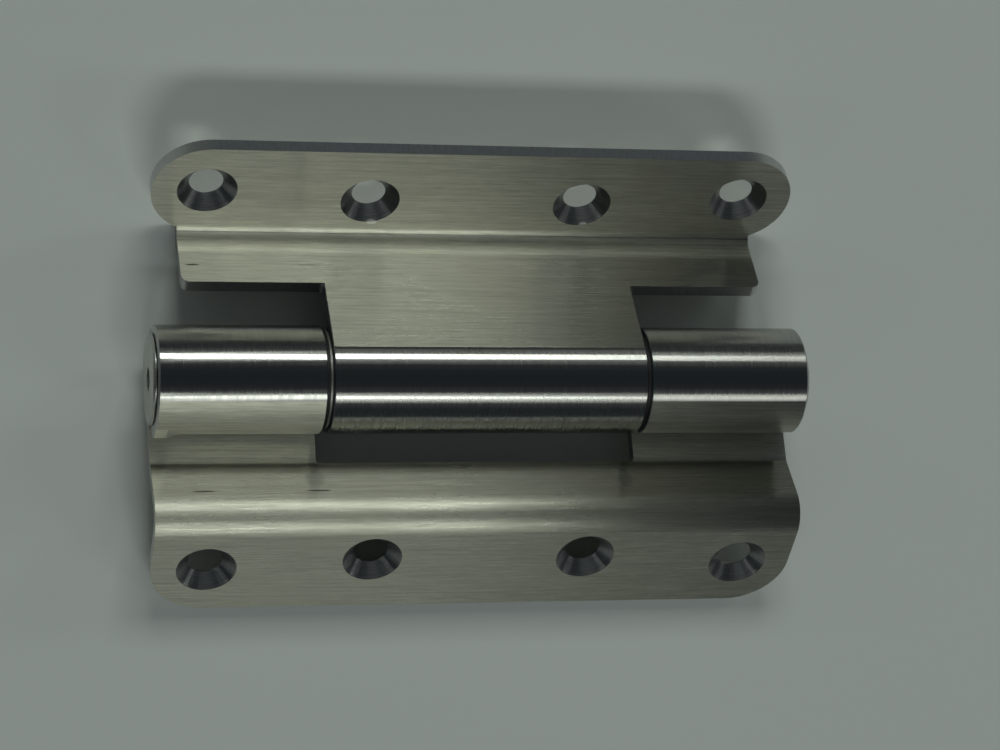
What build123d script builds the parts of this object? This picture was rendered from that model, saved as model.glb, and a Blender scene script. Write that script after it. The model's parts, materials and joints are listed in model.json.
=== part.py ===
from build123d import *
import os
from math import acos, asin, atan2, cos, degrees, hypot, radians, sin, tan

# Cranked door hinge, lying open on a table. Sizes in millimetres, angles in degrees.
# Each leaf is drawn in section as Y across and Z up with the pin at the origin and
# X along it, flanges level and webs upright. The whole hinge is then laid down.

# Sheet and knuckles
sheet = 2.5
length = 120.0
knuckle_radius = 9.75
outer_knuckle = 30.0
end_chamfer = 0.3
seam_chamfer = 0.15

# How far the free edge of each curl stops short of its own sheet
door_curl_gap = 0.35
frame_curl_gap = 3.75

# Outer corner of the left curl that stands off the round: how much of the curl
# runs on straight there, how far along the knuckle, and how far it takes to fade
corner_turn = 26.0
corner_length = 2.4
corner_fade = 3.8

# Seams between the knuckles
left_seam = 1.3
right_seam = 0.9

# Leaf of the door, with the middle knuckle
door_flange = 21.25
door_drop = 26.8
door_inner_bend = 2.0
web_inset = 5.5
wing_height = 12.1
wing_corner = 1.6
notch_corner = 0.9
door_end_round = 10.4

# Leaf of the frame, with the two outer knuckles
frame_flange = 23.4
frame_rise = 22.4
web_clearance = 2.85
frame_inner_bend = 2.6
neck_angle = 27.0
neck_inner_bend = 0.5
frame_end_round = 10.3
cutout_corner = 0.7

# Screw holes of both leaves, measured from the ends and the free edge of a flange
hole_radius = 3.1
sink_radius = 5.45
sink_angle = 90.0
outer_hole_inset = 10.0
inner_hole_inset = 40.0
outer_hole_row = 10.3
inner_hole_row = 12.4

# Pin, bushes, sleeves and end screws
bush_wall = 1.25
running_clearance = 0.05
pin_recess = 1.0
bush_reach = 18.0
bush_collar = 0.2
sleeve_collar = 0.65
collar_inset = 0.85
washer_thickness = 0.35
washer_inset = 0.65
washer_clearance = 0.1
cap_inset = 1.45
cap_gap = 0.2
cap_thickness = 0.5
cap_edge_chamfer = 0.4
cap_thread_radius = 3.0
cap_thread_length = 9.0
cap_tap_depth = 12.0
socket_flats = 4.0
socket_depth = 1.6

# How far the leaves are from lying in line
short_of_flat = 5.6

# Values that follow from those above
knuckle_bore = knuckle_radius - sheet
knuckle_middle = knuckle_radius - sheet / 2
pin_radius = knuckle_bore - bush_wall
half = length / 2
seam_left = -half + outer_knuckle
seam_right = half - outer_knuckle
middle_left = seam_left + left_seam
middle_right = seam_right - right_seam
door_web = knuckle_radius
frame_offset = knuckle_radius + web_clearance
frame_web = -frame_offset
frame_edge = frame_web - frame_flange
door_edge = door_web + door_flange


def polar(radius, angle):
    return Vector(radius * cos(radians(angle)), radius * sin(radians(angle)))


def bent_strip(start, heading, moves):
    # Section of a strip of sheet, walked along its middle. A number is a straight run,
    # and a pair is a bend: its radius inside the sheet and the angle turned to the left.
    place = Vector(*start)
    one_side, other_side = [], []
    first = [place + polar(sheet / 2, heading + turn) for turn in (90, -90)]
    for move in moves:
        if isinstance(move, tuple):
            inner, angle = move
            way = 1 if angle > 0 else -1
            middle = inner + sheet / 2
            centre = place + polar(middle, heading + 90 * way)
            begin = heading - 90 * way
            for edges, side in ((one_side, 1), (other_side, -1)):
                radius = middle - side * way * sheet / 2
                edges.append(CenterArc(centre, radius, begin, angle))
            heading += angle
            place = centre + polar(middle, heading - 90 * way)
        else:
            end = place + polar(move, heading)
            for edges, side in ((one_side, 90), (other_side, -90)):
                beside = polar(sheet / 2, heading + side)
                edges.append(Line(place + beside, end + beside))
            place = end
    last = [place + polar(sheet / 2, heading + turn) for turn in (90, -90)]
    ends = [Line(first[0], first[1]), Line(last[0], last[1])]
    return make_face(one_side + other_side + ends)


def curl_turn(gap):
    # How far the sheet is curled round, until its free edge is a gap short of itself
    return 360 - degrees(acos((knuckle_bore - gap) / knuckle_radius))


def along_pin(section, x_from, x_to):
    return Pos(x_from, 0, 0) * extrude(Plane.YZ * section, x_to - x_from)


def rod(radius, x_from, x_to):
    middle = (x_from + x_to) / 2
    return Pos(middle, 0, 0) * Rot(0, 90, 0) * Cylinder(radius, x_to - x_from)


def block(x_range, y_range, z_range):
    low, high = zip(x_range, y_range, z_range)
    size = [b - a for a, b in zip(low, high)]
    centre = [(a + b) / 2 for a, b in zip(low, high)]
    return Pos(*centre) * Box(*size)


def screw_holes(edge, inward, top):
    # Countersunk holes through a level flange, in two staggered pairs
    sink_depth = (sink_radius - hole_radius) / tan(radians(sink_angle / 2))
    drill = Pos(0, 0, -sheet) * Cylinder(hole_radius, 4 * sheet)
    sink = Pos(0, 0, -sink_depth / 2) * Cone(hole_radius, sink_radius, sink_depth)
    cutter = drill + sink
    holes = []
    for inset, row in ((outer_hole_inset, outer_hole_row), (inner_hole_inset, inner_hole_row)):
        for x in (-half + inset, half - inset):
            holes.append(Pos(x, edge + inward * row, top) * cutter)
    return holes


def chamfer_rims(leaf, ends, size):
    # The turned edge round the outside of each end of a knuckle
    rims = [
        e for e in leaf.edges().filter_by(GeomType.CIRCLE)
        if abs(e.radius - knuckle_radius) < 0.01 and any(abs(e.center().X - x) < 0.01 for x in ends)
    ]
    return chamfer(rims, size)


def door_leaf():
    top = -door_drop
    web_half = half - web_inset
    end_round = min(door_end_round, 0.49 * door_flange)
    plate = RectangleRounded(length, door_flange, end_round)
    plate_place = Pos(0, door_web + door_flange / 2, top - sheet)
    stub = end_round
    bend = door_inner_bend
    flange = plate_place * extrude(plate, sheet)
    flange -= block((-web_half, web_half), (0, door_web + bend), (top - 2 * sheet, top + sheet))
    wing_rise = wing_height - bend
    bottom_middle = top - sheet / 2
    wings = bent_strip(
        (door_web + stub, bottom_middle), 180,
        [stub - bend, (bend, -90), wing_rise],
    )
    wing_top = top + wing_height
    curl = bent_strip(
        (knuckle_middle, wing_top - sheet), 90,
        [sheet - wing_top, (knuckle_bore, curl_turn(door_curl_gap))],
    )
    web = along_pin(wings, -web_half, web_half)
    web = fillet(
        [e for e in web.edges().filter_by(Axis.Y)
         if abs(abs(e.center().X) - web_half) < 0.01 and abs(e.center().Z - wing_top) < 0.01],
        wing_corner,
    )
    knuckle = along_pin(curl, middle_left, middle_right)
    leaf = flange + web + chamfer_rims(knuckle, (middle_left, middle_right), seam_chamfer)
    notch_edges = [
        e for e in leaf.edges().filter_by(Axis.Y)
        if min(abs(e.center().X - middle_left), abs(e.center().X - middle_right)) < 0.01
        and abs(e.center().Z - wing_top) < 0.01
    ]
    leaf = fillet(notch_edges, notch_corner)
    return leaf - screw_holes(door_edge, -1, top)


def neck_corner():
    # Where the middle of the slanted neck meets the middle of the web, and the
    # straight length of the neck from there to the knuckle
    across = frame_offset + sheet / 2
    run = (across - knuckle_middle * cos(radians(neck_angle))) / sin(radians(neck_angle))
    height = run * cos(radians(neck_angle)) - knuckle_middle * sin(radians(neck_angle))
    return height, run


def standing_corner(free_angle):
    # The corner of sheet at the outer end of the left curl that was not rolled in.
    # It leaves the round at a tangent, and further along it sinks back into it.
    begin = free_angle - corner_turn
    run = radians(corner_turn) * knuckle_middle
    strip = bent_strip(polar(knuckle_middle, begin), begin + 90, [run])
    corner = along_pin(strip, -half, -half + corner_length)
    end_edges = corner.edges().group_by(Axis.X)[0]
    corner = chamfer(end_edges.sort_by_distance((-half, 0, 0))[-1], end_chamfer)
    sink = knuckle_radius / cos(radians(corner_turn)) - knuckle_radius
    inward = polar(-sink, begin)
    fade = Vector(corner_fade, inward.X, inward.Y)
    section = Pos(-half + corner_length, 0, 0) * (Plane.YZ * strip)
    corner += extrude(section, fade.length, dir=fade.normalized())
    return corner - rod(knuckle_bore, -half, -half + corner_length + corner_fade)


def frame_leaf():
    top = frame_rise
    bend = frame_inner_bend + sheet
    corner, run = neck_corner()
    crease = (neck_inner_bend + sheet / 2) * tan(radians(neck_angle / 2))
    front_crease = corner + sheet / 2 * tan(radians(neck_angle / 2))
    section = bent_strip(
        (frame_edge, top - sheet / 2), 0,
        [
            frame_flange - bend,
            (frame_inner_bend, -90),
            top - bend - corner - crease,
            (neck_inner_bend, neck_angle),
            run - crease,
            (knuckle_bore, curl_turn(frame_curl_gap)),
        ],
    )
    leaf = along_pin(section, -half, half)
    reach = 2 * knuckle_radius
    between = (knuckle_radius + frame_offset) / 2
    leaf -= block((seam_left, seam_right), (frame_web - reach, reach), (-reach, front_crease))
    leaf -= block((seam_left, seam_right), (-between, reach), (-reach, reach))
    inner_corners = [
        e for e in leaf.edges().filter_by(Axis.Y)
        if abs(abs(e.center().X) - seam_right) < 0.01 and abs(e.center().Z - front_crease) < 0.01
    ]
    leaf = fillet(inner_corners, cutout_corner)
    outer_corners = [
        e for e in leaf.edges().filter_by(Axis.Z)
        if abs(abs(e.center().X) - half) < 0.01 and abs(e.center().Y - frame_edge) < 0.01
    ]
    leaf = fillet(outer_corners, frame_end_round)
    leaf = chamfer_rims(leaf, (-half, half), end_chamfer)
    leaf = chamfer_rims(leaf, (seam_left, seam_right), seam_chamfer)
    leaf += standing_corner(180 + neck_angle + curl_turn(frame_curl_gap))
    return leaf - screw_holes(frame_edge, 1, top)


def hinge_pin():
    pin = rod(pin_radius, -half + pin_recess, half - pin_recess)
    for x, way in ((-half + pin_recess, 1), (half - pin_recess, -1)):
        tap_end = x + way * cap_tap_depth
        pin -= rod(cap_thread_radius, min(x, tap_end), max(x, tap_end))
    return pin


def sleeve(outer_end, seam, way):
    # Collared sleeve that fills an outer knuckle; way points into the seam
    face = seam + way * sleeve_collar
    body = rod(knuckle_bore, min(outer_end, seam), max(outer_end, seam))
    collar = rod(knuckle_radius - collar_inset, min(seam, face), max(seam, face))
    return body + collar - rod(pin_radius, min(outer_end, face), max(outer_end, face))


def bush(seam, way):
    # Flanged bush pressed into one end of the middle knuckle; way points into it
    inner_end = seam + way * bush_reach
    face = seam - way * bush_collar
    body = rod(knuckle_bore, min(seam, inner_end), max(seam, inner_end))
    collar = rod(knuckle_radius - collar_inset, min(seam, face), max(seam, face))
    bore = rod(pin_radius + running_clearance, min(face, inner_end), max(face, inner_end))
    return body + collar - bore


def thrust_washer():
    x_from = seam_left + sleeve_collar
    x_to = x_from + washer_thickness
    disc = rod(knuckle_radius - washer_inset, x_from, x_to)
    return disc - rod(pin_radius + washer_clearance, x_from, x_to)


def cap_screw():
    # Thin headed screw for one end of the pin, with its head clear of the knuckle
    outside = -cap_gap - cap_thickness
    head = rod(knuckle_radius - cap_inset, outside, -cap_gap)
    rim = head.edges().filter_by(GeomType.CIRCLE).sort_by(Axis.X)[0]
    head = chamfer(rim, cap_edge_chamfer)
    boss = rod(pin_radius, -cap_gap, pin_recess)
    thread = rod(cap_thread_radius, 0, pin_recess + cap_thread_length)
    hexagon = RegularPolygon(socket_flats / 2, 6, major_radius=False)
    socket = extrude(Plane.YZ * hexagon, cap_thickness + socket_depth)
    return head + boss + thread - Pos(outside, 0, 0) * socket


def make_hinge():
    turned = Rot(-short_of_flat, 0, 0)
    left_cap = Pos(-half, 0, 0) * cap_screw()
    right_cap = Rot(0, 0, 180) * left_cap
    return {
        "door_leaf": door_leaf(),
        "frame_leaf": turned * frame_leaf(),
        "hinge_pin": turned * hinge_pin(),
        "left_sleeve": turned * sleeve(-half, seam_left, 1),
        "right_sleeve": turned * sleeve(half, seam_right, -1),
        "left_bush": bush(middle_left, 1),
        "right_bush": bush(middle_right, -1),
        "thrust_washer": turned * thrust_washer(),
        "cap_screws": turned * Compound([left_cap, right_cap]),
    }


def lean_angle():
    # The open hinge rests on the round outside of the door leaf's bend and on the
    # lower edge of the frame leaf's flange. This is how far it leans to touch both.
    turn = radians(-short_of_flat)
    under = frame_rise - sheet
    edge_y = frame_edge * cos(turn) - under * sin(turn)
    edge_z = frame_edge * sin(turn) + under * cos(turn)
    outside = door_inner_bend + sheet
    bend_y = door_web + door_inner_bend
    bend_z = -door_drop + door_inner_bend
    across = bend_y - edge_y
    drop = edge_z - bend_z
    return degrees(atan2(drop, across) + asin(outside / hypot(across, drop)))


def main():
    pieces = make_hinge()
    lean = Rot(lean_angle(), 0, 0)
    pieces = {name: lean * piece for name, piece in pieces.items()}
    box = Compound(list(pieces.values())).bounding_box()
    to_table = Pos(0, -(box.min.Y + box.max.Y) / 2, -box.min.Z)
    os.makedirs("parts", exist_ok=True)
    for name, piece in pieces.items():
        export_step(to_table * piece, f"parts/{name}.step")
    print("lean", round(lean_angle(), 4), "pin axis at", to_table.position)
    print("box", box.size)


if __name__ == "__main__":
    main()
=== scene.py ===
import json
from math import atan2, cos, degrees, hypot, pi, radians, sin

import bmesh
import bpy
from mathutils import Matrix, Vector
from mathutils.bvhtree import BVHTree


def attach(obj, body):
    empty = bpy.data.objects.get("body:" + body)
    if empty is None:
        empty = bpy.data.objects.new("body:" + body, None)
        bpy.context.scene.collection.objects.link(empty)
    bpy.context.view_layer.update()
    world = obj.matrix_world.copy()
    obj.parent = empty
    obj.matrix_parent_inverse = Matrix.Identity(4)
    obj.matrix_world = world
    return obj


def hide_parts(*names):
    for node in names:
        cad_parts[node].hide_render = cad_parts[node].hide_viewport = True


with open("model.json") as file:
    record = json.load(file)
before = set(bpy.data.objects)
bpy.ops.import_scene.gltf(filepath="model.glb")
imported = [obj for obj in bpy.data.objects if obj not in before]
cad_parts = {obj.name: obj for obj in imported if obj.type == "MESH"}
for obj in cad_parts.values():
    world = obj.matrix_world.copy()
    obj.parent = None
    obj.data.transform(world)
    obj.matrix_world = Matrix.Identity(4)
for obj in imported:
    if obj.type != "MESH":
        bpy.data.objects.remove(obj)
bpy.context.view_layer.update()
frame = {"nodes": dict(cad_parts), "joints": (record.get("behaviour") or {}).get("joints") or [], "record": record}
mm = 0.001

# The places that everything follows, read from the frame. X runs along the barrel
mounts = {mount["name"]: mount for mount in frame["record"]["mounts"]}
pinPlace = Vector(frame["joints"][0]["pos_m"])
alongBarrel = Vector((1, 0, 0))


def leafAxes(backFace):
    # up looks straight out of the leaf's countersinks, front is square to it and to the barrel
    up = -Vector(mounts[backFace]["axis"]).normalized()
    return {"up": up, "front": up.cross(alongBarrel).normalized()}


def leafTilt(axes):
    return round(degrees(atan2(-axes["up"].y, axes["up"].z)), 2)


def screwPlaces(*patterns):
    places = []
    for pattern in patterns:
        mount = mounts[pattern]
        reach = mount["dims"]["pcd_mm"] * mm / 2
        places += [Vector(mount["pos_m"]) + side * reach * alongBarrel for side in (-1, 1)]
    return places


doorAxes = leafAxes("door_back_face")
frameAxes = leafAxes("frame_back_face")
print("frame loaded, leaves lie at", leafTilt(doorAxes), "and", leafTilt(frameAxes), "degrees")


# Node helpers
def addNode(tree, kind, values=None, **settings):
    node = tree.nodes.new(kind)
    for key, value in settings.items():
        setattr(node, key, value)
    for key, value in (values or {}).items():
        socket = node.inputs[key]
        if isinstance(value, bpy.types.NodeSocket):
            tree.links.new(value, socket)
        else:
            socket.default_value = value
    return node


def mathNode(tree, operation, first, second=0.0):
    return addNode(tree, "ShaderNodeMath", {0: first, 1: second}, operation=operation).outputs[0]


def addShare(tree, base, extra, share):
    return mathNode(tree, "ADD", base, mathNode(tree, "MULTIPLY", extra, share))


def vectorNode(tree, operation, first, second):
    return addNode(tree, "ShaderNodeVectorMath", {0: first, 1: second}, operation=operation).outputs[0]


def remap(tree, value, low, high, newLow=0.0, newHigh=1.0, smooth=False):
    ends = {"From Min": low, "From Max": high, "To Min": newLow, "To Max": newHigh}
    kind = "SMOOTHSTEP" if smooth else "LINEAR"
    node = addNode(tree, "ShaderNodeMapRange", {"Value": value, **ends}, interpolation_type=kind)
    return node.outputs["Result"]


def mixColour(tree, amount, first, second, blend="MIX"):
    # By number, because the node's factor and colour sockets share their names with others
    values = {0: amount, 6: first, 7: second}
    return addNode(tree, "ShaderNodeMix", values, data_type="RGBA", blend_type=blend).outputs[2]


def noise(tree, coords, detail, roughness, scale=1.0, distortion=0.0):
    values = {"Scale": scale, "Detail": detail, "Roughness": roughness, "Distortion": distortion}
    return addNode(tree, "ShaderNodeTexNoise", {"Vector": coords, **values}).outputs["Fac"]


def stretchedNoise(tree, coords, scale, detail, roughness):
    mapped = addNode(tree, "ShaderNodeMapping", {"Vector": coords, "Scale": scale}).outputs[0]
    return noise(tree, mapped, detail, roughness)


def noiseTone(tree, value):
    # Spreads the middle of a noise, where nearly all of it lies, over 0 to 1
    return remap(tree, value, 0.35, 0.65)


def newGroup(name, inputs, outputs):
    group = bpy.data.node_groups.new(name, "ShaderNodeTree")
    for label, kind, value in inputs:
        socket = group.interface.new_socket(label, in_out="INPUT", socket_type=kind)
        socket.default_value = value
    for label in outputs:
        group.interface.new_socket(label, in_out="OUTPUT", socket_type="NodeSocketFloat")
    return group, group.nodes.new("NodeGroupInput").outputs, group.nodes.new("NodeGroupOutput").inputs


def useGroup(tree, group, values):
    return addNode(tree, "ShaderNodeGroup", values, node_tree=group).outputs


# Effects that several finishes share
grainSettings = {"fineShare": 0.6, "coarseShare": 0.4, "toneFrom": 0.34, "toneTo": 0.66}
filmSettings = {"detail": 4.0, "roughness": 0.55, "distortion": 0.6, "from": 0.42, "to": 0.68}
markSettings = {"ragged": (900.0, 9000.0, 9000.0), "raggedShare": 0.8, "coreTo": 0.55, "edgeTo": 1.0}


def makeBrushGrain():
    # Fine lines that run one way: tone and height of the grain, both about 0.5
    s = grainSettings
    group, given, made = newGroup("brushGrain", [
        ("Coords", "NodeSocketVector", (0, 0, 0)),
        ("Fine", "NodeSocketVector", (220.0, 4800.0, 4800.0)),
        ("Coarse", "NodeSocketVector", (50.0, 2200.0, 2200.0)),
    ], ["Tone", "Height"])
    fine = noise(group, vectorNode(group, "MULTIPLY", given["Coords"], given["Fine"]), 3.0, 0.7)
    coarse = noise(group, vectorNode(group, "MULTIPLY", given["Coords"], given["Coarse"]), 2.0, 0.5)
    both = addShare(group, mathNode(group, "MULTIPLY", fine, s["fineShare"]), coarse, s["coarseShare"])
    group.links.new(remap(group, both, s["toneFrom"], s["toneTo"]), made["Tone"])
    group.links.new(fine, made["Height"])
    return group


def makeHandlingFilm():
    # Soft patches left by handling, 0 where the metal is clean
    s = filmSettings
    group, given, made = newGroup("handlingFilm", [
        ("Coords", "NodeSocketVector", (0, 0, 0)),
        ("Scale", "NodeSocketFloat", 70.0),
    ], ["Film"])
    patches = noise(group, given["Coords"], s["detail"], s["roughness"], given["Scale"], s["distortion"])
    group.links.new(remap(group, patches, s["from"], s["to"], smooth=True), made["Film"])
    return group


def makeLongMark():
    # One mark along the barrel, used for rubs, smudges, painted glints and a painted crease shade: 1 at its
    # middle, 0 outside it, with ragged ends
    s = markSettings
    group, given, made = newGroup("longMark", [
        ("Coords", "NodeSocketVector", (0, 0, 0)),
        ("Place", "NodeSocketVector", (0, 0, 0)),
        ("Half Size", "NodeSocketVector", (0.002, 0.0002, 0.0002)),
    ], ["Mark"])
    away = vectorNode(group, "SUBTRACT", given["Coords"], given["Place"])
    scaled = vectorNode(group, "DIVIDE", away, given["Half Size"])
    distance = addNode(group, "ShaderNodeVectorMath", {0: scaled}, operation="LENGTH").outputs["Value"]
    ragged = stretchedNoise(group, given["Coords"], s["ragged"], 2.0, 0.6)
    edge = addShare(group, distance, mathNode(group, "SUBTRACT", ragged, 0.5), s["raggedShare"])
    group.links.new(remap(group, edge, s["coreTo"], s["edgeTo"], 1.0, 0.0, True), made["Mark"])
    return group


def makeAboutPin():
    # How far round the pin a point is, in degrees from +Y over +Z
    group, given, made = newGroup("aboutPin", [
        ("Coords", "NodeSocketVector", (0, 0, 0)),
        ("Pin", "NodeSocketVector", tuple(pinPlace)),
    ], ["Turn"])
    away = vectorNode(group, "SUBTRACT", given["Coords"], given["Pin"])
    parts = addNode(group, "ShaderNodeSeparateXYZ", {0: away}).outputs
    turn = mathNode(group, "ARCTAN2", parts["Z"], parts["Y"])
    group.links.new(mathNode(group, "MULTIPLY", turn, degrees(1)), made["Turn"])
    return group


brushGrain = makeBrushGrain()
handlingFilm = makeHandlingFilm()
longMark = makeLongMark()
aboutPin = makeAboutPin()
print("shared effects built")


# Finishes
# dark rubs and scratches, and the painted shade of the bend's crease
rubAndCreaseShadeColour = (0.03, 0.03, 0.027, 1)
smudgeColour = (0.24, 0.24, 0.20, 1)
# painted glint colour, for small highlights at the lower rims of two countersinks
paintedGlintColour = (1.0, 1.0, 0.95, 1)


def startFinish(name, **shader):
    material = bpy.data.materials.new(name)
    material.use_nodes = True
    tree = material.node_tree
    principled = tree.nodes["Principled BSDF"]
    principled.inputs["Metallic"].default_value = 1.0
    for key, value in shader.items():
        principled.inputs[key.replace("_", " ")].default_value = value
    coords = tree.nodes.new("ShaderNodeTexCoord").outputs["Object"]
    return material, tree, principled, coords


def wire(tree, principled, colour, roughness):
    tree.links.new(colour, principled.inputs["Base Color"])
    tree.links.new(roughness, principled.inputs["Roughness"])


def wireBump(tree, principled, height, depth, strength):
    bump = addNode(tree, "ShaderNodeBump", {"Height": height, "Distance": depth, "Strength": strength})
    tree.links.new(bump.outputs[0], principled.inputs["Normal"])


def grainTangent(tree, principled):
    # The direction of the gloss follows the piece's own map, which runs along the barrel
    tangent = addNode(tree, "ShaderNodeTangent", direction_type="UV_MAP", uv_map="grainMap").outputs[0]
    tree.links.new(tangent, principled.inputs["Tangent"])


def addMark(tree, coords, colour, place, halfSize, share, shade):
    mark = useGroup(tree, longMark, {"Coords": coords, "Place": place, "Half Size": halfSize})["Mark"]
    return mixColour(tree, mathNode(tree, "MULTIPLY", mark, share), colour, shade)


sheetSettings = {
    "light": (0.62, 0.61, 0.52, 1), "dark": (0.35, 0.345, 0.29, 1), "film": (0.40, 0.39, 0.32, 1),
    "smooth": 0.265, "rough": 0.295, "filmShare": 0.35, "filmRough": 0.02,
    "depth": 0.006 * mm, "strength": 0.5, "paintedLightBlur": 0.7 * mm,
}


def makeBrushedSheet(name, paintedLightZones, marks):
    # Sheet brushed along the barrel. Each zone is a stretch along Y whose gain paints light or shade into the
    # colour, with its own added roughness
    s = sheetSettings
    material, tree, principled, coords = startFinish(name, Anisotropic=1.0, Anisotropic_Rotation=0.25)
    grain = useGroup(tree, brushGrain, {"Coords": coords})
    film = useGroup(tree, handlingFilm, {"Coords": coords})["Film"]
    colour = mixColour(tree, grain["Tone"], s["dark"], s["light"])
    colour = mixColour(tree, mathNode(tree, "MULTIPLY", film, s["filmShare"]), colour, s["film"])
    roughness = remap(tree, grain["Tone"], 0.0, 1.0, s["rough"], s["smooth"])
    roughness = addShare(tree, roughness, film, s["filmRough"])
    across = addNode(tree, "ShaderNodeSeparateXYZ", {0: coords}).outputs["Y"]
    for low, high, paintedGain, rougher in paintedLightZones:
        half = (high - low) / 2
        off = mathNode(tree, "ABSOLUTE", mathNode(tree, "SUBTRACT", across, (low + high) / 2))
        paintedLight = remap(tree, off, half - s["paintedLightBlur"], half + s["paintedLightBlur"], 1.0, 0.0, True)
        # painted light or shade: each zone's gain brightens or darkens the sheet's colour
        colour = mixColour(tree, paintedLight, colour, (paintedGain, paintedGain, paintedGain, 1), "MULTIPLY")
        roughness = addShare(tree, roughness, paintedLight, rougher)
    for mark in marks:
        colour = addMark(tree, coords, colour, *mark)
    wire(tree, principled, colour, roughness)
    wireBump(tree, principled, grain["Height"], s["depth"], s["strength"])
    grainTangent(tree, principled)
    return material


knuckleSettings = {
    "light": (0.50, 0.49, 0.46, 1), "dark": (0.40, 0.40, 0.385, 1), "smooth": 0.185, "rough": 0.275,
    "fine": (9000.0, 120.0, 120.0), "coarse": (1800.0, 60.0, 60.0), "depth": 0.003 * mm, "strength": 0.4,
}


def makePolishedKnuckle(name, upper, lower):
    # Rolled knuckle with fine lines round it, polished between two rougher stretches, bounded in degrees
    s = knuckleSettings
    material, tree, principled, coords = startFinish(name, Anisotropic=0.74)
    turning = useGroup(tree, brushGrain, {"Coords": coords, "Fine": s["fine"], "Coarse": s["coarse"]})
    turn = useGroup(tree, aboutPin, {"Coords": coords})["Turn"]
    inUpper = remap(tree, turn, upper["from"], upper["to"], 1.0, 0.0, True)
    inLower = remap(tree, turn, lower["from"], lower["to"], 0.0, 1.0, True)
    colour = mixColour(tree, turning["Tone"], s["dark"], s["light"])
    roughness = remap(tree, turning["Tone"], 0.0, 1.0, s["rough"], s["smooth"])
    roughness = addShare(tree, roughness, inUpper, upper["rougher"])
    roughness = addShare(tree, roughness, inLower, lower["rougher"])
    wire(tree, principled, colour, roughness)
    wireBump(tree, principled, turning["Height"], s["depth"], s["strength"])
    grainTangent(tree, principled)
    return material


satinSettings = {
    "light": (0.64, 0.63, 0.54, 1), "dark": (0.38, 0.375, 0.315, 1), "smooth": 0.325, "rough": 0.345,
    "filmScale": 110.0, "filmRough": 0.03, "depth": 0.004 * mm, "strength": 0.4,
}


def makeSatinKnuckle(name):
    # Underside of an outer knuckle, brushed along the barrel and not polished
    s = satinSettings
    material, tree, principled, coords = startFinish(name, Anisotropic=1.0, Anisotropic_Rotation=0.25)
    grain = useGroup(tree, brushGrain, {"Coords": coords})
    film = useGroup(tree, handlingFilm, {"Coords": coords, "Scale": s["filmScale"]})["Film"]
    colour = mixColour(tree, grain["Tone"], s["dark"], s["light"])
    roughness = remap(tree, grain["Tone"], 0.0, 1.0, s["rough"], s["smooth"])
    wire(tree, principled, colour, addShare(tree, roughness, film, s["filmRough"]))
    wireBump(tree, principled, grain["Height"], s["depth"], s["strength"])
    grainTangent(tree, principled)
    return material


edgeSettings = {
    "light": (0.38, 0.39, 0.42, 1), "dark": (0.30, 0.31, 0.34, 1), "smooth": 0.29, "rough": 0.36,
    "tear": (2600.0, 500.0, 500.0), "depth": 0.004 * mm, "strength": 0.4,
    "end": (0.62, 0.62, 0.58, 1), "endShare": 0.6, "endFrom": 48 * mm, "endTo": 54 * mm,
}


def makeShearedEdge(name):
    # Cut edge of the sheet, duller and darker than its faces, with painted light near both ends of the hinge,
    # where the rounded ends reflect the lit surroundings
    s = edgeSettings
    material, tree, principled, coords = startFinish(name)
    tear = stretchedNoise(tree, coords, s["tear"], 4.0, 0.7)
    tone = noiseTone(tree, tear)
    colour = mixColour(tree, tone, s["dark"], s["light"])
    along = mathNode(tree, "ABSOLUTE", addNode(tree, "ShaderNodeSeparateXYZ", {0: coords}).outputs["X"])
    # painted light: the edge colour is lightened towards both ends of the hinge
    paintedEndLight = remap(tree, along, s["endFrom"], s["endTo"], 0.0, s["endShare"], True)
    colour = mixColour(tree, paintedEndLight, colour, s["end"])
    wire(tree, principled, colour, remap(tree, tone, 0.0, 1.0, s["rough"], s["smooth"]))
    wireBump(tree, principled, tear, s["depth"], s["strength"])
    return material


sinkSettings = {
    # painted shade: these colours are darker than the sheet's to stand in for shade in the countersink; the rings'
    # tone is real
    "light": (0.36, 0.37, 0.37, 1), "dark": (0.17, 0.17, 0.18, 1), "smooth": 0.28, "rough": 0.40,
    "rings": (7000.0, 80.0, 1.0), "chatter": (260.0, 900.0, 1.0), "chatterShare": 1.6,
    "depth": 0.02 * mm, "strength": 0.6,
    "marks": [  # place and half size in metres, share, colour; painted glints at the lower rims of two holes
        ((-0.0189, 0.0286, 0.0042), (0.0012, 0.0007, 0.0007), 1.0, paintedGlintColour),
        ((0.0213, 0.0287, 0.0044), (0.0009, 0.0006, 0.0006), 1.0, paintedGlintColour),
    ],
}


def makeTurnedSink(name):
    # Countersink with the rings and chatter of its cutter, in the piece's own map; its colours are painted darker
    # than the sheet as painted shade in the recess
    s = sinkSettings
    material, tree, principled, coords = startFinish(name, Anisotropic=0.5)
    slope = addNode(tree, "ShaderNodeUVMap", uv_map="grainMap").outputs[0]
    rings = stretchedNoise(tree, slope, s["rings"], 3.0, 0.65)
    chatter = stretchedNoise(tree, slope, s["chatter"], 2.0, 0.5)
    tone = noiseTone(tree, rings)
    colour = mixColour(tree, tone, s["dark"], s["light"])
    # painted glints at the lower rims of two holes
    for mark in s["marks"]:
        colour = addMark(tree, coords, colour, *mark)
    wire(tree, principled, colour, remap(tree, tone, 0.0, 1.0, s["rough"], s["smooth"]))
    height = addShare(tree, rings, chatter, s["chatterShare"])
    wireBump(tree, principled, height, s["depth"], s["strength"])
    grainTangent(tree, principled)
    return material


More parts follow.
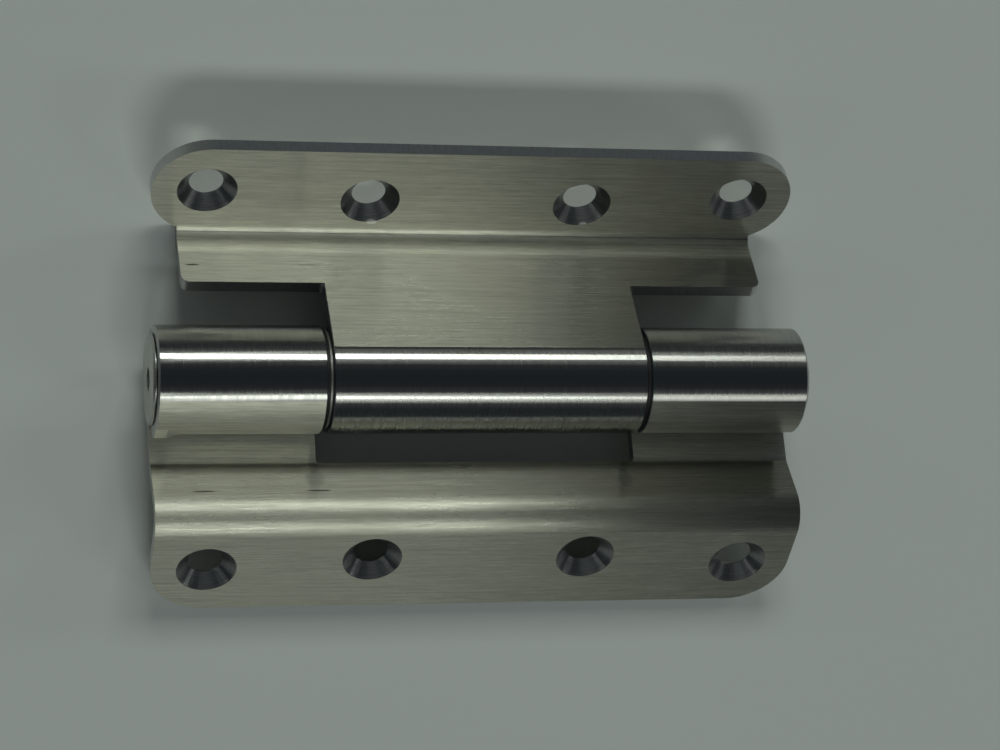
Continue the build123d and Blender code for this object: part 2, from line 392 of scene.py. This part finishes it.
steelSettings = {
    "pinSteel": {
        "light": (0.60, 0.60, 0.56, 1), "dark": (0.42, 0.42, 0.39, 1), "smooth": 0.24, "rough": 0.38,
    },
    "washerSteel": {
        "light": (0.42, 0.42, 0.39, 1), "dark": (0.28, 0.28, 0.26, 1), "smooth": 0.38, "rough": 0.55,
    },
    "grain": (3000.0, 3000.0, 3000.0), "filmScale": 240.0, "filmRough": 0.08,
    "depth": 0.006 * mm, "strength": 0.4,
}


def makeTurnedSteel(name):
    # Pin, washer and end screws
    s = steelSettings
    own = s[name]
    material, tree, principled, coords = startFinish(name)
    grain = stretchedNoise(tree, coords, s["grain"], 3.0, 0.6)
    film = useGroup(tree, handlingFilm, {"Coords": coords, "Scale": s["filmScale"]})["Film"]
    tone = noiseTone(tree, grain)
    roughness = remap(tree, tone, 0.0, 1.0, own["rough"], own["smooth"])
    roughness = addShare(tree, roughness, film, s["filmRough"])
    wire(tree, principled, mixColour(tree, tone, own["dark"], own["light"]), roughness)
    wireBump(tree, principled, grain, s["depth"], s["strength"])
    return material


plasticSettings = {
    "light": (0.03, 0.03, 0.03, 1), "dark": (0.010, 0.010, 0.011, 1), "speckle": (2500.0, 2500.0, 2500.0),
    "smooth": 0.42, "rough": 0.62, "roughFrom": 0.3, "roughTo": 0.7, "depth": 0.01 * mm, "strength": 0.4,
}


def makeBushPlastic(name):
    s = plasticSettings
    material, tree, principled, coords = startFinish(name, Metallic=0.0)
    speckle = stretchedNoise(tree, coords, s["speckle"], 3.0, 0.6)
    colour = mixColour(tree, speckle, s["dark"], s["light"])
    roughness = remap(tree, speckle, s["roughFrom"], s["roughTo"], s["smooth"], s["rough"])
    wire(tree, principled, colour, roughness)
    wireBump(tree, principled, speckle, s["depth"], s["strength"])
    return material


shearedEdge = makeShearedEdge("shearedEdge")
turnedSink = makeTurnedSink("turnedSink")
pinSteel = makeTurnedSteel("pinSteel")
washerSteel = makeTurnedSteel("washerSteel")
bushPlastic = makeBushPlastic("bushPlastic")
print("finishes built")


# Leaves
leafSettings = {
    "knuckleRadius": 9.75 * mm, "sinkRadius": 5.45 * mm, "sheet": 2.5 * mm,
    "holeRadius": mounts["door_outer_screws"]["dims"]["hole_r_mm"] * mm,
    "thickest": 3.9 * mm,  # a face with more metal than this behind it is a cut edge
    "slack": 0.02 * mm, "knuckleSlack": 0.12 * mm,  # how far the middle of a face may lie off its place
    "level": 0.98, "outward": 0.9, "sideways": 0.03, "endOn": 0.3,  # which way a face looks
    "near": 0.05 * mm, "rimFrom": 0.9, "rimTo": 1.001,  # how near its round a corner already lies
    "merge": 0.002 * mm, "cut": 0.00001 * mm, "flatTurn": radians(0.4),
    "facet": 3.0, "sinkFacet": 7.5,  # degrees from one cut to the next
    "sinkSlope": 1.414, "sinkGirth": 4 * mm,  # scale of the map down a countersink and round it
    "edgeRound": 0.16 * mm, "edgeSteps": 2, "sharpFrom": radians(28), "roundFrom": radians(50),
}
finishOrder = ["skin", "knuckle", "edge", "sink", "satin"]
sinkIndex = finishOrder.index("sink")


def awayFromPin(place):
    return hypot(place.y - pinPlace.y, place.z - pinPlace.z)


def fromHole(place, hole, axes):
    # How far a place lies from the hole's axis, and how far up it
    away = place - hole
    level = away.dot(axes["up"])
    return (away - level * axes["up"]).length, level


def cleanCopy(nodeName, pieceName):
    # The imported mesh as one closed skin, with the flat stretches in one face each
    s = leafSettings
    mesh = frame["nodes"][nodeName].data.copy()
    mesh.name = pieceName
    build = bmesh.new()
    build.from_mesh(mesh)
    bmesh.ops.remove_doubles(build, verts=build.verts, dist=s["merge"])
    bmesh.ops.dissolve_limit(build, angle_limit=s["flatTurn"], verts=build.verts, edges=build.edges)
    build.to_mesh(mesh)
    build.free()
    mesh.materials.clear()
    piece = bpy.data.objects.new(pieceName, mesh)
    bpy.context.scene.collection.objects.link(piece)
    return piece


def cutFaces(build, faces, place, across):
    parts = {part for face in faces for part in (face, *face.edges, *face.verts)}
    bmesh.ops.bisect_plane(build, geom=list(parts), plane_co=place, plane_no=across,
                           dist=leafSettings["cut"])


def onKnuckle(vert):
    return abs(awayFromPin(vert.co) - leafSettings["knuckleRadius"]) < leafSettings["near"]


def roundKnuckle(build, axes):
    # Finer facets on the outside of the knuckles, with their corners on the true round
    s = leafSettings
    for step in range(int(180 / s["facet"])):
        turn = radians(step * s["facet"])
        faces = [face for face in build.faces if all(onKnuckle(vert) for vert in face.verts)]
        cutFaces(build, faces, pinPlace, cos(turn) * axes["front"] + sin(turn) * axes["up"])
    for vert in build.verts:
        if onKnuckle(vert):
            offset = (vert.co - pinPlace) * (s["knuckleRadius"] / awayFromPin(vert.co))
            vert.co = Vector((vert.co.x, pinPlace.y + offset.y, pinPlace.z + offset.z))


def roundSink(build, axes, hole):
    # Finer facets in a countersink, with the corners of both rims on their true rounds
    s = leafSettings
    outermost = s["rimTo"] * s["sinkRadius"]
    for step in range(int(180 / s["sinkFacet"])):
        turn = radians((step + 0.5) * s["sinkFacet"])
        faces = [face for face in build.faces
                 if all(fromHole(vert.co, hole, axes)[0] < outermost for vert in face.verts)]
        cutFaces(build, faces, hole, cos(turn) * axes["front"] + sin(turn) * alongBarrel)
    for vert in build.verts:
        away, level = fromHole(vert.co, hole, axes)
        true = s["sinkRadius"] if level > s["sheet"] - s["near"] else s["holeRadius"]
        if s["rimFrom"] * true < away < s["rimTo"] * true and level > -s["near"]:
            vert.co = hole + level * axes["up"] + (vert.co - hole - level * axes["up"]) * (true / away)


def facePlaces(build):
    # A place well inside each face, the middle of its largest triangle
    best = {}
    for loops in build.calc_loop_triangles():
        corners = [loop.vert.co for loop in loops]
        area = (corners[1] - corners[0]).cross(corners[2] - corners[0]).length
        face = loops[0].face
        if face not in best or area > best[face][0]:
            best[face] = (area, (corners[0] + corners[1] + corners[2]) / 3)
    return {face: place for face, (area, place) in best.items()}


def faceFinish(face, place, solid, leaf):
    # Which finish a face has, from where it is, which way it looks and how thick the metal is behind it
    s = leafSettings
    front, up = leaf["axes"]["front"], leaf["axes"]["up"]
    normal = face.normal
    reach = min(fromHole(place, hole, leaf["axes"])[0] for hole in leaf["holes"])
    if reach < s["sinkRadius"] + s["slack"] and abs(normal.dot(up)) < s["level"]:
        return "sink"
    away = Vector((0, (place - pinPlace).dot(front), (place - pinPlace).dot(up)))
    looks = Vector((0, normal.dot(front), normal.dot(up)))
    outward = looks.dot(away.normalized()) > s["outward"]
    if abs(away.length - s["knuckleRadius"]) < s["knuckleSlack"] and outward:
        turn = degrees(atan2(place.z - pinPlace.z, place.y - pinPlace.y)) % 360
        if leaf["satinFrom"] < turn < leaf["satinTo"]:
            return "satin"
        return "knuckle" if degrees(atan2(away.z, away.y)) % 360 > leaf["brushedTo"] else "skin"
    behind = solid.ray_cast(place - normal * s["slack"], -normal, s["thickest"])
    return "edge" if abs(normal.x) > s["sideways"] or behind[0] is None else "skin"


def markEdges(build):
    # Smooth, sharp or to be rounded, by how far the faces turn at the edge
    s = leafSettings
    weights = build.edges.layers.float.new("bevel_weight_edge")
    for edge in build.edges:
        turn = edge.calc_face_angle(0)
        edge.smooth = turn < s["sharpFrom"]
        bySink = any(face.material_index == sinkIndex for face in edge.link_faces)
        if turn > s["roundFrom"] and not bySink:
            edge[weights] = 1.0


def grainMap(mesh, axes, holes):
    # u runs along the barrel, and on a countersink down its slope; v runs across that
    s = leafSettings
    layer = mesh.uv_layers.new(name="grainMap")
    for face in mesh.polygons:
        corners = [(loop, mesh.vertices[mesh.loops[loop].vertex_index].co) for loop in face.loop_indices]
        if face.material_index == sinkIndex:
            hole = min(holes, key=lambda place: (face.center - place).length)
            middle = face.center - hole
            middle -= middle.dot(axes["up"]) * axes["up"]
            middle.normalize()
            side = axes["up"].cross(middle)
            for loop, place in corners:
                away = place - hole
                turn = atan2(away.dot(side), away.dot(middle)) + atan2(middle.y, middle.x)
                layer.data[loop].uv = (away.dot(axes["up"]) * s["sinkSlope"], turn * s["sinkGirth"])
            continue
        across = face.normal.cross(alongBarrel)
        if across.length < s["endOn"]:
            across = axes["up"]
        across.normalize()
        for loop, place in corners:
            layer.data[loop].uv = (place.x, place.dot(across))


def roundEdges(piece):
    bevel = piece.modifiers.new("roundedEdges", "BEVEL")
    bevel.limit_method = "WEIGHT"
    bevel.width = leafSettings["edgeRound"]
    bevel.segments = leafSettings["edgeSteps"]
    bevel.use_clamp_overlap = True
    even = piece.modifiers.new("evenShading", "WEIGHTED_NORMAL")
    even.keep_sharp = True


def makeLeaf(nodeName, pieceName, body, leaf, finishes):
    piece = cleanCopy(nodeName, pieceName)
    mesh = piece.data
    for name in finishOrder:
        mesh.materials.append(finishes[name])
    build = bmesh.new()
    build.from_mesh(mesh)
    roundKnuckle(build, leaf["axes"])
    for hole in leaf["holes"]:
        roundSink(build, leaf["axes"], hole)
    build.normal_update()
    solid = BVHTree.FromBMesh(build)
    for face, place in facePlaces(build).items():
        face.smooth = True
        face.material_index = finishOrder.index(faceFinish(face, place, solid, leaf))
    markEdges(build)
    build.to_mesh(mesh)
    build.free()
    grainMap(mesh, leaf["axes"], leaf["holes"])
    roundEdges(piece)
    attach(piece, body)
    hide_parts(nodeName)
    order = range(len(finishOrder))
    counts = [sum(face.material_index == index for face in mesh.polygons) for index in order]
    print(pieceName, len(mesh.polygons), "faces before rounding,", counts, "by finish")


# Turns are in degrees: brushedTo from the leaf's front, the others from +Y over +Z. Marks are in metres
doorLeaf = {
    "axes": doorAxes,
    "holes": screwPlaces("door_outer_screws", "door_inner_screws"),
    "brushedTo": 3.0,
    "satinFrom": 300.0, "satinTo": 300.0,  # nothing of this knuckle is left satin
    "upper": {"from": 54.0, "to": 66.0, "rougher": 0.08},
    "lower": {"from": 104.0, "to": 116.0, "rougher": 0.03},
    "paintedLightZones": [  # from, to, gain that paints light or shade, added roughness
        # painted shade on the web, a painted band of light in the bend's valley, painted light on the flange
        (0.0, 22.8 * mm, 0.9, 0.0),
        (22.8 * mm, 26.2 * mm, 1.6, 0.08),
        (27.2 * mm, 60 * mm, 1.28, 0.025),
    ],
    "marks": [  # place, half size, share, colour
        ((-0.05228, 0.02019, 0.00679), (0.0016, 0.00024, 0.00024), 0.9, rubAndCreaseShadeColour),
        ((-0.03076, 0.02036, 0.00665), (0.0026, 0.00016, 0.00016), 0.35, rubAndCreaseShadeColour),
        # painted shade: a dark line along the inner corner of the bend
        ((0, 0.02646, 0.00254), (0.2, 0.00016, 0.00016), 0.5, rubAndCreaseShadeColour),
        # painted glint at the lower rim of a countersink
        ((-0.0189, 0.0286, 0.0042), (0.0012, 0.0006, 0.0006), 0.9, paintedGlintColour),
    ],
}
frameLeaf = {
    "axes": frameAxes,
    "holes": screwPlaces("frame_outer_screws", "frame_inner_screws"),
    "brushedTo": 0.0,
    "satinFrom": 113.5, "satinTo": 300.0,
    "upper": {"from": 36.0, "to": 68.0, "rougher": 0.12},
    "lower": {"from": 100.0, "to": 116.0, "rougher": 0.14},
    "paintedLightZones": [
        # painted light on the flange, painted shade on the web, painted light on the neck
        (-60 * mm, -27.6 * mm, 1.2, 0.0),
        (-21.2 * mm, -15.8 * mm, 0.9, 0.0),
        (-15.4 * mm, -9.0 * mm, 1.6, 0.04),
    ],
    "marks": [
        ((-0.05103, -0.02041, 0.01342), (0.0027, 0.00026, 0.00026), 0.8, rubAndCreaseShadeColour),
        ((-0.03033, -0.0204, 0.0134), (0.0030, 0.00026, 0.00026), 0.8, rubAndCreaseShadeColour),
        ((-0.03066, -0.01821, 0.0112), (0.0022, 0.0030, 0.0030), 0.5, smudgeColour),
        ((0.02737, -0.01859, 0.01158), (0.0016, 0.0030, 0.0030), 0.5, smudgeColour),
    ],
}
sharedFinishes = {"edge": shearedEdge, "sink": turnedSink, "satin": makeSatinKnuckle("satinKnuckle")}
makeLeaf("door_leaf", "doorLeaf", "door_side", doorLeaf, {
    "skin": makeBrushedSheet("brushedDoorLeaf", doorLeaf["paintedLightZones"], doorLeaf["marks"]),
    "knuckle": makePolishedKnuckle("polishedDoorKnuckle", doorLeaf["upper"], doorLeaf["lower"]),
    **sharedFinishes,
})
makeLeaf("frame_leaf", "frameLeaf", "frame_side", frameLeaf, {
    "skin": makeBrushedSheet("brushedFrameLeaf", frameLeaf["paintedLightZones"], frameLeaf["marks"]),
    "knuckle": makePolishedKnuckle("polishedFrameKnuckles", frameLeaf["upper"], frameLeaf["lower"]),
    **sharedFinishes,
})


# Pieces that stay as the frame has them
for nodeName, material in (
    ("hinge_pin", pinSteel), ("cap_screws", pinSteel), ("thrust_washer", washerSteel),
    ("left_sleeve", bushPlastic), ("right_sleeve", bushPlastic),
    ("left_bush", bushPlastic), ("right_bush", bushPlastic),
):
    mesh = frame["nodes"][nodeName].data
    mesh.materials.clear()
    mesh.materials.append(material)
print("small pieces finished")


# Floor, lights and camera
floorSettings = {
    "half": 6.0, "rough": 0.75, "cloudScale": 9.0,
    "light": (0.91, 0.94, 0.92, 1), "dark": (0.88, 0.91, 0.89, 1),
}


def makeFloor():
    s = floorSettings
    mesh = bpy.data.meshes.new("floor")
    corners = [(x * s["half"], y * s["half"], 0) for x, y in ((-1, -1), (1, -1), (1, 1), (-1, 1))]
    mesh.from_pydata(corners, [], [(0, 1, 2, 3)])
    floor = bpy.data.objects.new("floor", mesh)
    bpy.context.scene.collection.objects.link(floor)
    material, tree, principled, coords = startFinish("floorPaint", Metallic=0.0, Roughness=s["rough"])
    cloud = noise(tree, coords, 2.0, 0.5, s["cloudScale"])
    tree.links.new(mixColour(tree, cloud, s["dark"], s["light"]), principled.inputs["Base Color"])
    mesh.materials.append(material)


# Strips over the hinge, parallel to the barrel, between two directions along it (0 is straight above)
lampSettings = {
    "farLampBefore": {"tilt": 49.0, "width": 0.46, "from": -1.40, "to": -0.45, "radiance": 0.6},
    "farLamp": {"tilt": 49.0, "width": 0.46, "from": -0.18, "to": 0.215, "radiance": 6.4},
    "farLampEnd": {"tilt": 49.0, "width": 0.46, "from": 0.215, "to": 0.257, "radiance": 9.0},
    "farLampBeyond": {"tilt": 49.0, "width": 0.46, "from": 0.85, "to": 1.60, "radiance": 3.0},
    "nearLampBefore": {"tilt": -39.0, "width": 0.30, "from": -1.40, "to": -0.45, "radiance": 1.0},
    "nearLamp": {"tilt": -39.0, "width": 0.30, "from": -0.18, "to": 0.215, "radiance": 7.8},
    "nearLampEnd": {"tilt": -39.0, "width": 0.30, "from": 0.215, "to": 0.258, "radiance": 10.8},
    "nearLampBeyond": {"tilt": -39.0, "width": 0.30, "from": 0.85, "to": 1.60, "radiance": 3.6},
}
lampDistance = 2.5
lampColour = (0.93, 1.0, 0.93)


def makeLamp(name):
    s = lampSettings[name]
    tilt = radians(s["tilt"])
    length = (s["to"] - s["from"]) * lampDistance
    middle = (s["to"] + s["from"]) / 2 * lampDistance
    lamp = bpy.data.lights.new(name, "AREA")
    lamp.shape = "RECTANGLE"
    lamp.size = length
    lamp.size_y = s["width"]
    lamp.energy = s["radiance"] * pi * length * s["width"]
    lamp.color = lampColour
    thing = bpy.data.objects.new(name, lamp)
    thing.location = (middle, lampDistance * sin(tilt), lampDistance * cos(tilt))
    thing.rotation_euler = (-tilt, 0, 0)
    bpy.context.scene.collection.objects.link(thing)


worldColour = (0.021, 0.026, 0.030, 1)


def makeWorld():
    world = bpy.data.worlds.new("studio")
    world.use_nodes = True
    world.node_tree.nodes["Background"].inputs["Color"].default_value = worldColour
    bpy.context.scene.world = world


cameraSettings = {
    "lens": 100.686, "sensor": 36.0, "nearest": 10 * mm,
    "place": (-120.52 * mm, -5.81 * mm, 507.64 * mm), "turns": (0.7063, -14.0436, -0.0459),  # in degrees
}


def makeCamera():
    s = cameraSettings
    camera = bpy.data.cameras.new("camera")
    camera.sensor_width = s["sensor"]
    camera.lens = s["lens"]
    camera.clip_start = s["nearest"]
    thing = bpy.data.objects.new("camera", camera)
    thing.location = s["place"]
    thing.rotation_euler = [radians(turn) for turn in s["turns"]]
    bpy.context.scene.collection.objects.link(thing)
    bpy.context.scene.camera = thing


makeFloor()
for lampName in lampSettings:
    makeLamp(lampName)
makeWorld()
makeCamera()
bpy.context.scene.view_settings.view_transform = "Standard"

print("scene complete")
